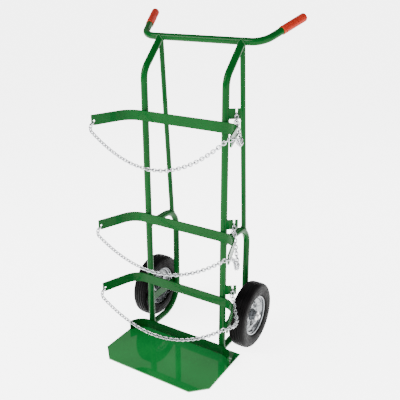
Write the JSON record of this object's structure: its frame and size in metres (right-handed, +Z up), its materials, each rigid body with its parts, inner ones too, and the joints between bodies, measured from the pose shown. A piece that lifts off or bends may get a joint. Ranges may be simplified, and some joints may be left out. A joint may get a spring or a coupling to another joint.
{
  "type": "welding gas cylinder cart",
  "caption": "Two-wheeled hand cart for a pair of welding gas cylinders, with a flat toe plate, bow-shaped cylinder hoops, safety chains and bent handles with grips",
  "frame": {"origin": "on the underside of the toe plate, midway between the two front uprights", "axes": "+X to the cart's right seen from its front, where the chain keepers are; +Y to the cart's back, where the wheels and handles are; +Z up"},
  "size_m": [0.6484, 0.5556, 1.2621],
  "materials": {
    "green_paint": "gloss enamel with worn edges",
    "grip_rubber": "matte, ribbed",
    "tyre_rubber": "matte with moulded ribs",
    "zinc_plate": "bright zinc plating, slightly hazy",
    "bearing_steel": "ground steel"
  },
  "bodies": {
    "frame": {"toe_plate": "green_paint", "toe_rim": "green_paint", "upright_left": "green_paint", "upright_right": "green_paint", "handlebar": "green_paint", "brace_left": "green_paint", "brace_right": "green_paint", "wheel_loop_left": "green_paint", "wheel_loop_right": "green_paint", "hoop_top": "green_paint", "hoop_middle": "green_paint", "hoop_bottom": "green_paint", "chain_keeper_top": "green_paint", "chain_keeper_middle": "green_paint", "chain_keeper_bottom": "green_paint", "axle_plate_left": "green_paint", "axle_plate_right": "green_paint", "axle": "zinc_plate", "axle_spacers": "zinc_plate", "axle_washers": "zinc_plate", "cotter_pins": "zinc_plate", "grip_left": "grip_rubber", "grip_right": "grip_rubber", "chain_tail_top": "zinc_plate", "chain_tail_middle": "zinc_plate", "chain_tail_bottom": "zinc_plate", "chain_anchor_links": "zinc_plate"},
    "wheel_left": {"tyre_left": "tyre_rubber", "rim_outer_left": "zinc_plate", "rim_inner_left": "zinc_plate", "hub_tube_left": "zinc_plate", "bearings_left": "bearing_steel", "rim_bolts_left": "zinc_plate"},
    "wheel_right": {"tyre_right": "tyre_rubber", "rim_outer_right": "zinc_plate", "rim_inner_right": "zinc_plate", "hub_tube_right": "zinc_plate", "bearings_right": "bearing_steel", "rim_bolts_right": "zinc_plate"},
    "chain_top": {"chain_top": "zinc_plate"},
    "chain_middle": {"chain_middle": "zinc_plate"},
    "chain_bottom": {"chain_bottom": "zinc_plate"}
  },
  "joints": [
    {"name": "wheel_spin_left", "type": "hinge", "parent": "frame", "child": "wheel_left", "pos_m": [-0.227, 0.12, 0.131], "axis": [1, 0, 0], "continuous": true},
    {"name": "wheel_spin_right", "type": "hinge", "parent": "frame", "child": "wheel_right", "pos_m": [0.227, 0.12, 0.131], "axis": [1, 0, 0], "continuous": true},
    {"name": "chain_swing_top", "type": "hinge", "parent": "frame", "child": "chain_top", "pos_m": [-0.26285, -0.17805, 0.86385], "axis": [0.9971, -0.0091, 0.0757], "range_deg": [-25, 25]},
    {"name": "chain_swing_middle", "type": "hinge", "parent": "frame", "child": "chain_middle", "pos_m": [-0.26234, -0.17806, 0.4626], "axis": [0.9971, -0.0091, 0.0755], "range_deg": [-25, 25]},
    {"name": "chain_swing_bottom", "type": "hinge", "parent": "frame", "child": "chain_bottom", "pos_m": [-0.26238, -0.17806, 0.19548], "axis": [0.9971, -0.0091, 0.0756], "range_deg": [-25, 25]}
  ]
}
